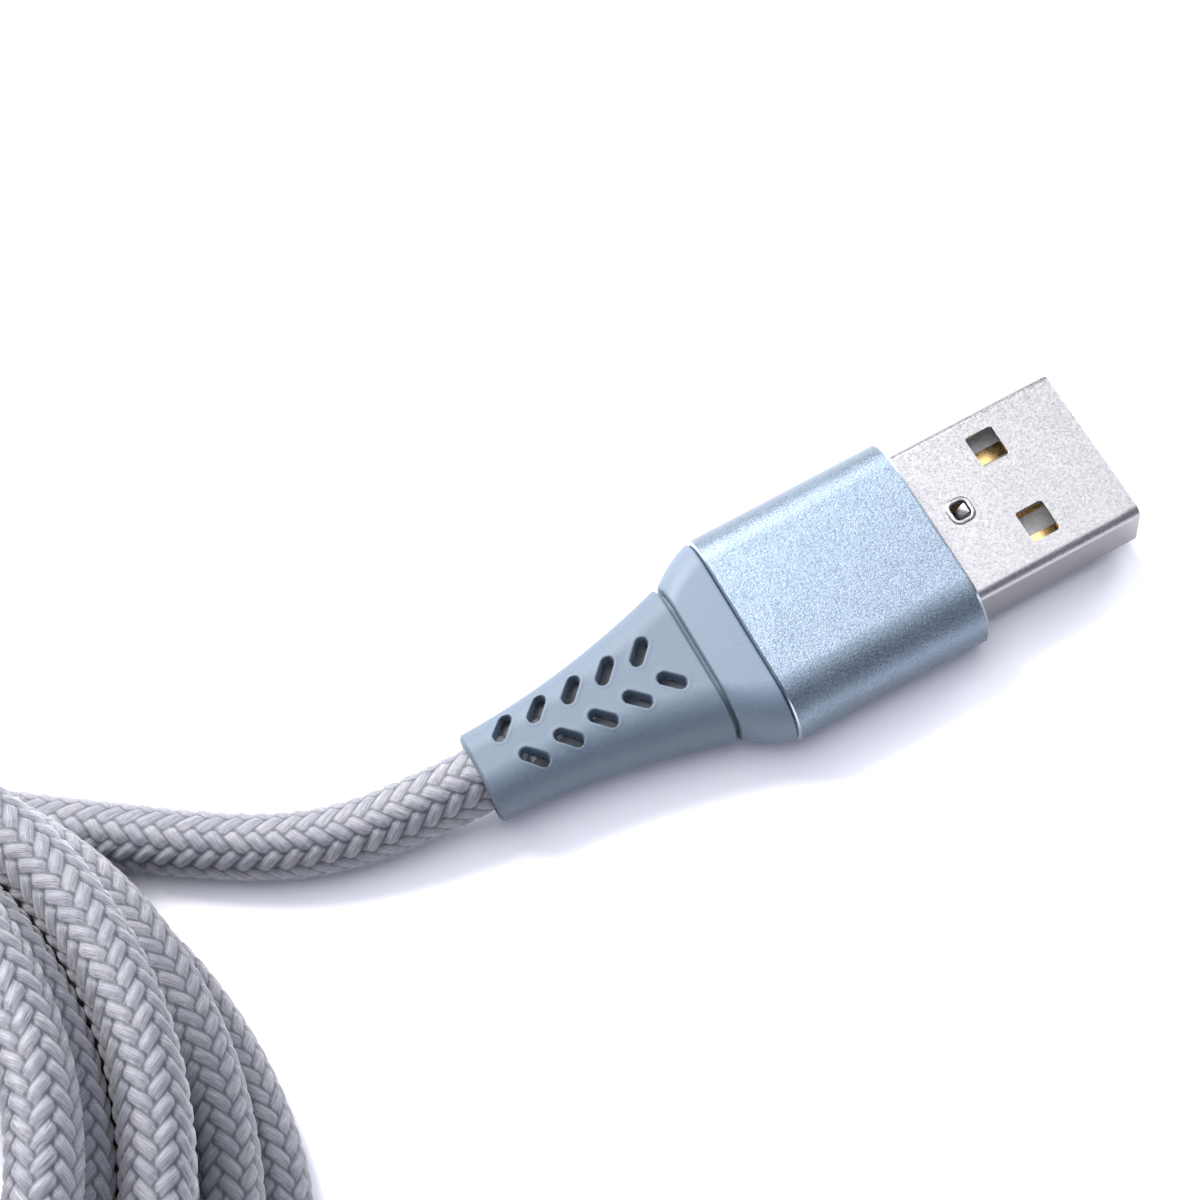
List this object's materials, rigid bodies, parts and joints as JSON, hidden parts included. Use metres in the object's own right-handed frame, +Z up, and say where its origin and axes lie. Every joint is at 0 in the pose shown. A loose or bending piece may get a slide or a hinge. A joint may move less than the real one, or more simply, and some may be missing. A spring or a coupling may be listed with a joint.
{
  "type": "charging cable",
  "caption": "Braided charging cable wound in a round coil, with a flat steel plug in a metal sleeve and a soft slotted strain relief, and a small oval plug on the far end.",
  "frame": {"origin": "on the table under the middle of the USB-A plug, from the tip of its shell to the end of its strain relief", "axes": "+X along the USB-A plug towards its tip, +Y across it to the left, +Z up from the table"},
  "size_m": [0.1291, 0.0642, 0.0303],
  "materials": {
    "steel": "satin nickel plate",
    "insulator": "satin",
    "gold": "gold plate",
    "wire_red": "satin",
    "wire_white": "satin",
    "wire_green": "satin",
    "wire_black": "satin",
    "jacket": "satin",
    "copper": "plain",
    "mould": "satin",
    "anodised": "blasted and anodised, steel blue",
    "collar": "matte",
    "relief": "matte",
    "braid": "braided nylon",
    "board": "solder mask",
    "chip": "matte"
  },
  "bodies": {
    "root": {"usb_a_shell": "steel", "usb_a_insulator": "insulator", "usb_a_contact_power": "gold", "usb_a_contact_data_minus": "gold", "usb_a_contact_data_plus": "gold", "usb_a_contact_ground": "gold", "usb_a_wire_power": "wire_red", "usb_a_wire_data_minus": "wire_white", "usb_a_wire_data_plus": "wire_green", "usb_a_wire_ground": "wire_black", "usb_a_inner_jacket": "jacket", "usb_a_crimp_ferrule": "copper", "usb_a_inner_mould": "mould", "usb_a_sleeve": "anodised", "usb_a_collar": "collar", "usb_a_strain_relief": "relief", "cable_lead": "braid", "cable_coil": "braid", "cable_tail": "braid", "usb_c_shell": "steel", "usb_c_insulator": "insulator", "usb_c_contacts_upper": "gold", "usb_c_contacts_lower": "gold", "usb_c_latch_plate": "steel", "usb_c_circuit_board": "board", "usb_c_resistor": "chip", "usb_c_wire_power": "wire_red", "usb_c_wire_data_minus": "wire_white", "usb_c_wire_data_plus": "wire_green", "usb_c_wire_ground": "wire_black", "usb_c_inner_jacket": "jacket", "usb_c_crimp_ferrule": "copper", "usb_c_inner_mould": "mould", "usb_c_sleeve": "anodised", "usb_c_collar": "collar", "usb_c_strain_relief": "relief"}
  },
  "joints": []
}
